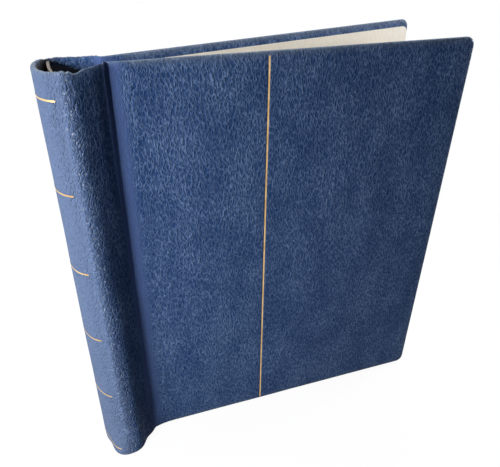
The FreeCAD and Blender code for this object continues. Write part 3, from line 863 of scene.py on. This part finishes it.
def cover_skin(side, leatherette):
    """A cover's padded skin: its face, rounded edges and the lip that is turned in."""
    has_rule = side == "front"
    columns = cover_columns(has_rule)
    radius, centre = COVER_CORNER - EDGE_DEPTH, cover_width - COVER_CORNER
    past = np.clip(columns - centre, 0, radius)
    low = COVER_CORNER - np.sqrt(radius**2 - past**2)
    up = low + np.linspace(0, 1, COVER_ROWS)[:, None] * (album_height - 2 * low)
    along = np.broadcast_to(columns, up.shape)
    level = outer_level + cover_relief(side, along, up, has_rule)
    shift = [COVER_SHIFT[side], 0.0]
    uv = np.stack([along, up], axis=-1) + shift
    # A pale line along the cover's edges: part wear, part painted highlight.
    rim_wear_and_highlight = np.exp(-from_edges(along, up) / (1.6 * MM))
    face = grid_parts(cover_point(side, along, level, up), uv, rim_wear_and_highlight)

    places = np.stack([along, up, level], axis=-1)
    outline = np.concatenate([places[0], places[1:, -1], places[-1, -2::-1]])
    bend = [[-math.inf, COVER_CORNER], [centre, album_height - COVER_CORNER]]
    away = outline[:, :2] - np.clip(outline[:, :2], *bend)
    away /= np.linalg.norm(away, axis=1, keepdims=True)
    turn = np.linspace(0, math.pi, RIM_STEPS + 1)
    lip = np.zeros_like(LIP_STEPS)
    out = np.concatenate([EDGE_DEPTH * np.sin(turn), -LIP_STEPS])[:, None]
    run = np.concatenate([EDGE_DEPTH * turn, EDGE_DEPTH * math.pi + LIP_STEPS])[:, None]
    share = np.concatenate([(1 + np.cos(turn)) / 2, lip])[:, None]
    # The pale rim line is strongest on the edge's crest: part wear, part painted highlight.
    rim_wear_and_highlight = np.concatenate([0.35 + 0.65 * np.sin(turn), lip])[:, None]
    rim_along, rim_up = (outline[:, i] + out * away[:, i] for i in (0, 1))
    rim_level = between((inner_level, outline[:, 2]), share)
    uv = outline[:, :2] + run[..., None] * away + shift
    points = cover_point(side, rim_along, rim_level, rim_up)
    rim = grid_parts(points[::-1], uv[::-1], np.broadcast_to(rim_wear_and_highlight, rim_up.shape)[::-1])
    return joined_piece(side + "_cover_skin", [face, rim], leatherette, side == "back")


def grid_parts(points, uv, rim):
    """Points, faces, surface places and pale rim line of one grid; the rim line is part wear and part painted
    highlight.
    """
    faces = grid_cells(*points.shape[:2]).reshape(-1, 4)
    return points.reshape(-1, 3), faces, uv.reshape(-1, 2), rim.reshape(-1)


def joined_piece(name, parts, finish, turned):
    """One piece of several grids, with the points that they share merged."""
    points, faces, uv, rim = zip(*parts)
    counts = np.cumsum([0] + [len(part) for part in points])
    faces = np.concatenate([part + count for part, count in zip(faces, counts)])
    points, uv, rim = (np.concatenate(each) for each in (points, uv, rim))
    lattice = np.round(points / (0.002 * MM)).astype(np.int64)
    _, first, number = np.unique(lattice, axis=0, return_index=True, return_inverse=True)
    if turned:
        faces = faces[:, ::-1]
    plain = np.zeros(len(first))
    values = {"rim": rim[first], "fold": plain, "painted_sheen": plain}
    return skin_piece(name, points[first], number.reshape(-1)[faces], uv[faces.ravel()], values, [finish])


# Geometry Nodes kit
class Rule(Maker):
    """A Geometry Nodes tree with named inputs."""

    def __init__(self, name, inputs):
        super().__init__(bpy.data.node_groups.new(name, "GeometryNodeTree"))
        self.identifiers = {}
        face = self.tree.interface
        for label, kind in {"Geometry": "Geometry", **inputs, "Material": "Material"}.items():
            made = face.new_socket(label, in_out="INPUT", socket_type="NodeSocket" + kind)
            self.identifiers[label] = made.identifier
        face.new_socket("Geometry", in_out="OUTPUT", socket_type="NodeSocketGeometry")
        self.entry = self.tree.nodes.new("NodeGroupInput")

    def input(self, label):
        """One of the tree's named inputs."""
        return Tone(self, self.entry.outputs[label])

    def repeated(self, shape, count, offset, start=(0.0, 0.0, 0.0)):
        """A shape repeated along a line."""
        inputs = {"Count": count, "Start Location": start, "Offset": offset}
        places = self.node("GeometryNodeMeshLine", inputs=inputs)
        inputs = {"Points": places, "Instance": shape}
        copies = self.node("GeometryNodeInstanceOnPoints", inputs=inputs)
        return self.node("GeometryNodeRealizeInstances", inputs={"Geometry": copies})

    def finish(self, sheet, merge):
        """Thickens a sheet and ends the tree in realized geometry with its material."""
        inputs = {"Mesh": sheet, "Offset Scale": self.input("Thickness"), "Individual": False}
        top = self.node("GeometryNodeExtrudeMesh", {"mode": "FACES"}, inputs)
        under = self.node("GeometryNodeFlipFaces", inputs={"Mesh": sheet})
        both = self.node("GeometryNodeJoinGeometry", inputs={"Geometry": [top, under]})
        whole = self.node("GeometryNodeMergeByDistance", inputs={"Geometry": both, "Distance": merge})
        real = self.node("GeometryNodeRealizeInstances", inputs={"Geometry": whole})
        inputs = {"Geometry": real, "Material": self.input("Material")}
        dressed = self.node("GeometryNodeSetMaterial", inputs=inputs)
        leave = self.tree.nodes.new("NodeGroupOutput")
        self.tree.links.new(dressed.socket, leave.inputs["Geometry"])

    def grow(self, name, values, mesh=None):
        """Runs the tree with its inputs set and gives the result as a plain mesh object."""
        start = link_object(name + "_rule", mesh or bpy.data.meshes.new(name + "_rule"))
        modifier = start.modifiers.new("rule", "NODES")
        modifier.node_group = self.tree
        for label, value in values.items():
            modifier[self.identifiers[label]] = value
        graph = bpy.context.evaluated_depsgraph_get()
        made = bpy.data.meshes.new_from_object(start.evaluated_get(graph))
        start.modifiers.clear()
        bpy.data.objects.remove(start)
        made.name = name
        return link_object(name, made)


def foil_rule():
    """A tree that repeats a ribbon upwards, casts it onto a skin and thickens it to foil."""
    rule = Rule("foil_rules", {
        "Skin": "Object", "Axis": "Vector", "Count": "Int", "Pitch": "Float", "Proud": "Float",
        "Thickness": "Float",
    })
    step = rule.node("ShaderNodeCombineXYZ", inputs={"Z": rule.input("Pitch")})
    ribbons = rule.repeated(rule.input("Geometry"), rule.input("Count"), step)
    position = rule.node("GeometryNodeInputPosition")
    inward = rule.vector("SUBTRACT", rule.input("Axis"), position)
    aim = rule.vector("NORMALIZE", rule.vector("MULTIPLY", inward, (1.0, 1.0, 0.0)))
    settings = {"transform_space": "RELATIVE"}
    skin = rule.node("GeometryNodeObjectInfo", settings, {"Object": rule.input("Skin")}, "Geometry")
    inputs = {"Target Geometry": skin, "Source Position": position, "Ray Direction": aim, "Ray Length": 10.0}
    hit = rule.node("GeometryNodeRaycast", inputs=inputs)
    missed = rule.node("FunctionNodeBooleanMath", {"operation": "NOT"}, {0: hit.other("Is Hit")})
    inputs = {"Geometry": ribbons, "Selection": missed}
    ribbons = rule.node("GeometryNodeDeleteGeometry", {"domain": "POINT"}, inputs)
    inputs = {0: aim, "Scale": rule.input("Proud") * -1.0}
    lift = rule.node("ShaderNodeVectorMath", {"operation": "SCALE"}, inputs)
    inputs = {"Geometry": ribbons, "Position": rule.vector("ADD", hit.other("Hit Position"), lift)}
    rule.finish(rule.node("GeometryNodeSetPosition", inputs=inputs), FOIL_MERGE)
    return rule


def laid_foil(rule, name, ribbon, skin, axis, foil, count=1, pitch=0.0):
    """Foil laid on a skin from a grid of points that stands off it."""
    mesh = bpy.data.meshes.new("ribbon")
    faces = grid_cells(*ribbon.shape[:2]).reshape(-1, 4)
    mesh.from_pydata(ribbon.reshape(-1, 3).tolist(), [], faces.tolist())
    return rule.grow(name, {
        "Skin": skin, "Axis": axis, "Count": count, "Pitch": pitch, "Proud": FOIL_PROUD,
        "Thickness": FOIL_THICKNESS, "Material": foil,
    }, mesh)


def spine_rules(rule, skin, foil):
    """The level gold rules round the spine."""
    low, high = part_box("spine_gold_rules")
    pitch = (high.z - low.z - RULE_WIDTH) / (SPINE_RULE_COUNT - 1)
    sway = math.asin(high.y / spine_half)
    end = math.atan2(high.y, spine_depth * math.cos(sway))
    angle = np.linspace(-end, end, 72)
    taper = np.sqrt(np.clip((end - np.abs(angle)) / 0.03, 0.0, 1.0))
    across = np.linspace(-0.5, 0.5, 5)[:, None] * (0.25 + 0.75 * taper)
    far = 3 * spine_half
    x = spine_high.x - far * np.cos(angle)
    y = far * np.sin(angle)
    up = low.z + RULE_WIDTH / 2 + across * RULE_WIDTH
    points = np.stack(np.broadcast_arrays(x, y, up), axis=-1)
    axis = (spine_high.x, 0.0, 0.0)
    return laid_foil(rule, "spine_foil_rules", points[::-1], skin, axis, foil, SPINE_RULE_COUNT, pitch)


def cover_rule(rule, skin, foil):
    """The upright gold rule on the front cover."""
    low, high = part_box("front_gold_rule")
    along = rule_place() + np.linspace(-0.5, 0.5, 5) * RULE_WIDTH
    along, up = np.meshgrid(along, np.linspace(low.z, high.z, 160))
    points = cover_point("front", along, np.full_like(up, 0.05), up)
    deep = cover_point("front", np.array(rule_place()), np.array(-5.0), 0.0)
    return laid_foil(rule, "front_foil_rule", points, skin, tuple(deep), foil)


def leaf_rule():
    """A tree for a punched leaf: a rounded sheet, filled round its row of oblong holes, and curled."""
    rule = Rule("punched_leaf", {
        "Width": "Float", "Height": "Float", "Corner": "Float", "Inset": "Float", "Hole Length": "Float",
        "Hole Height": "Float", "Hole Count": "Int", "Hole Pitch": "Float", "First Hole": "Vector",
        "Curl": "Float", "Thickness": "Float",
    })

    def rounded(width, height, radius):
        """The outline of a rectangle with round corners."""
        inputs = {"Width": width, "Height": height}
        sides = rule.node("GeometryNodeCurvePrimitiveQuadrilateral", inputs=inputs)
        inputs = {"Curve": sides, "Radius": radius, "Count": 6, "Limit Radius": True}
        return rule.node("GeometryNodeFilletCurve", {"mode": "POLY"}, inputs)

    width, height, hole_height = (rule.input(label) for label in ("Width", "Height", "Hole Height"))
    inputs = {"X": width * 0.5 + rule.input("Inset"), "Y": height * 0.5}
    middle = rule.node("ShaderNodeCombineXYZ", inputs=inputs)
    inputs = {"Geometry": rounded(width, height, rule.input("Corner")), "Translation": middle}
    outline = rule.node("GeometryNodeTransform", inputs=inputs)
    hole = rounded(rule.input("Hole Length"), hole_height, hole_height * 0.499)
    step = rule.node("ShaderNodeCombineXYZ", inputs={"Y": rule.input("Hole Pitch")})
    holes = rule.repeated(hole, rule.input("Hole Count"), step, rule.input("First Hole"))
    curves = rule.node("GeometryNodeJoinGeometry", inputs={"Geometry": [outline, holes]})
    sheet = rule.node("GeometryNodeFillCurve", {"mode": "TRIANGLES"}, {"Curve": curves})
    sheet = rule.node("GeometryNodeSubdivideMesh", inputs={"Mesh": sheet, "Level": 3})
    position = rule.node("GeometryNodeInputPosition")
    inputs = {"Geometry": sheet, "Name": "surface", "Value": position}
    sheet = rule.node("GeometryNodeStoreNamedAttribute", {"data_type": "FLOAT2", "domain": "CORNER"}, inputs)
    x, y, _ = rule.split(position)
    out, rise = x.maths("DIVIDE", width), y.maths("DIVIDE", height)
    sway = ((rise + out * 0.35) * 5.0).maths("SINE")
    lift = rule.node("ShaderNodeCombineXYZ", inputs={"Z": out * out * rule.input("Curl") * sway})
    inputs = {"Geometry": sheet, "Offset": lift}
    rule.finish(rule.node("GeometryNodeSetPosition", inputs=inputs), LEAF_MERGE)
    return rule


def leaf_piece(rule, number, paper):
    """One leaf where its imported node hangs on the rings."""
    node = "leaf_%d" % number
    along = plan_direction(node)
    out = np.array([-along[1], along[0]])
    near, far = reach(node, ring_axis, along)
    thin, thick = reach(node, ring_axis, out)
    low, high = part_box(node)
    ring_low, ring_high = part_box("front_half_rings")
    pitch = (ring_high.z - ring_low.z - RING_WIRE) / (PUNCH_COUNT - 1)
    first = (album_height - (PUNCH_COUNT - 1) * pitch) / 2
    drop = (album_height - high.z - low.z) / 2
    piece = rule.grow(node + "_sheet", {
        "Width": far - near, "Height": high.z - low.z, "Corner": LEAF_CORNER, "Inset": near,
        "Hole Length": PUNCH_LENGTH, "Hole Height": PUNCH_HEIGHT, "Hole Count": PUNCH_COUNT,
        "Hole Pitch": pitch, "First Hole": (RING_RADIUS, first - drop - low.z, 0.0),
        "Curl": LEAF_CURL, "Thickness": thick - thin, "Material": paper,
    })
    axes = Matrix(((along[0], 0, -out[0], 0), (along[1], 0, -out[1], 0), (0, 1, 0, 0), (0, 0, 0, 1)))
    place = Vector((ring_axis[0] + thick * out[0], ring_axis[1] + thick * out[1], low.z))
    piece.data.transform(Matrix.Translation(place) @ axes)
    return piece


# Stage
def stage_floor():
    """A plain pale floor that shows nearly white and keeps the album's shadow."""
    f = Finish("pale_floor")
    place = f.object_mm()
    grain = f.noise(place, 60.0, 2.0)
    dim = f.mix(grain, (0.12, 0.12, 0.12), (0.15, 0.15, 0.15))
    base = f.mix(f.seen_ray(), dim, (0.90, 0.90, 0.90))
    shadow = f.node("ShaderNodeBsdfPrincipled", inputs={"Base Color": base, "Roughness": 0.7}, output="BSDF")
    white = f.node("ShaderNodeEmission", inputs={"Color": WHITE, "Strength": 1.0})
    away = f.vector("LENGTH", place).other("Value")
    glow = FLOOR_GLOW + away.step(*FLOOR_FADE) * (1 - FLOOR_GLOW)
    shader = f.node("ShaderNodeMixShader", inputs={0: f.seen_ray() * glow, 1: shadow, 2: white})
    f.node_out(shader)
    mesh = bpy.data.meshes.new("floor")
    corners = [(x * FLOOR_SIZE, y * FLOOR_SIZE, 0.0) for x, y in ((-1, -1), (1, -1), (1, 1), (-1, 1))]
    mesh.from_pydata(corners, [], [(0, 1, 2, 3)])
    mesh.materials.append(f.material)
    floor = link_object("floor", mesh)
    floor.location.z = -FLOOR_GAP


def world_light():
    """A soft white surround that shows as white behind the album."""
    f = Finish("surround", "worlds")
    bpy.context.scene.world = f.material
    strength = SURROUND + f.seen_ray() * (1 - SURROUND)
    f.node_out(f.node("ShaderNodeBackground", inputs={"Color": WHITE, "Strength": strength}), "World")


def soft_lamp(name, place, target, size, power):
    """A soft round lamp that looks at a place."""
    data = bpy.data.lights.new(name, "AREA")
    data.shape = "DISK"
    data.size = size
    data.energy = power
    lamp = link_object(name, data)
    lamp.location = place
    lamp.rotation_euler = (Vector(target) - Vector(place)).to_track_quat("-Z", "Y").to_euler()


def photo_camera():
    """The camera at the photograph's viewing angle."""
    data = bpy.data.cameras.new("camera")
    data.sensor_width = SENSOR
    data.lens = FOCAL_PIXELS * SENSOR / IMAGE_WIDTH
    data.clip_start = 0.01
    camera = link_object("camera", data)
    turns = ((-CAMERA_YAW, "Z"), (math.pi / 2 - CAMERA_PITCH, "X"), (CAMERA_ROLL, "Z"))
    yaw, pitch, roll = (Matrix.Rotation(angle, 4, axis) for angle, axis in turns)
    camera.matrix_world = Matrix.Translation(CAMERA_PLACE) @ yaw @ pitch @ roll
    bpy.context.scene.camera = camera


# Dressing
photo_camera()
leatherette = navy_leatherette()
cloth = hinge_cloth()
foil = gold_foil()
nickel = bright_metal("nickel_plate", (0.72, 0.71, 0.68), (0.48, 0.47, 0.45), 0.14)
zinc = bright_metal("zinc_rail", (0.56, 0.57, 0.58), (0.36, 0.37, 0.38), 0.30)
leaf_low, leaf_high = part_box("leaf_1")
leaf_width = np.diff(reach("leaf_1", ring_axis, plan_direction("leaf_1")))[0]
paper = album_leaf(leaf_width, leaf_high.z - leaf_low.z)

skins = skin_wrap(leatherette, cloth)
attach(skins["spine_skin"], "spine")
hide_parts("spine_leatherette", "spine_foam")
for side, sign in SIDES.items():
    flank, joint = skins[side + "_flank_skin"], skins[side + "_crease_skin"]
    strip, cover = side + "_hinge_strip", side + "_cover"
    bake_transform(flank)
    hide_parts(side + "_hinge_leatherette")
    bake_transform(joint)
    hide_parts(side + "_hinge_lining")
    skin = cover_skin(side, leatherette)
    skins[side + "_cover_skin"] = skin
    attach(skin, cover)
    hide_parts(cover + "_leatherette", cover + "_foam")

foil_tree = foil_rule()
rules = spine_rules(foil_tree, skins["spine_skin"], foil)
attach(rules, "spine")
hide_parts("spine_gold_rules")
rule_strip = cover_rule(foil_tree, skins["front_cover_skin"], foil)
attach(rule_strip, "front_cover")
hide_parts("front_gold_rule")

leaf_tree = leaf_rule()
for number in range(1, LEAF_COUNT + 1):
    leaf = leaf_piece(leaf_tree, number, paper)
    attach(leaf, "leaf_%d" % number)
    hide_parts("leaf_%d" % number)

finishes = {
    greyboard(): ["spine_board", "front_cover_board", "back_cover_board"],
    dark_paper(): ["spine_stiffener", "spine_board_lining"],
    cream_lining(): ["front_cover_lining", "back_cover_lining"],
    nickel: [
        "mechanism_plate", "plate_rivets", "top_lever", "bottom_lever", "top_lever_pin", "bottom_lever_pin",
        "front_half_rings", "back_half_rings",
    ],
    zinc: ["rivet_spacers", "front_ring_rail", "back_ring_rail"],
}
for finish, names in finishes.items():
    for name in names:
        nodes[name].data.materials.clear()
        nodes[name].data.materials.append(finish)

stage_floor()
world_light()
soft_lamp("key_lamp", (-0.56, -0.25, 0.40), (-0.36, 0.20, -0.30), 0.28, 7.3)
soft_lamp("back_lamp", (0.35, 0.45, 1.05), (-0.05, 0.0, 0.18), 0.5, 12.0)
soft_lamp("opening_lamp", (0.45, -0.01, 0.335), (0.05, 0.03, 0.28), 0.10, 1.8)
bpy.context.scene.view_settings.view_transform = "Standard"
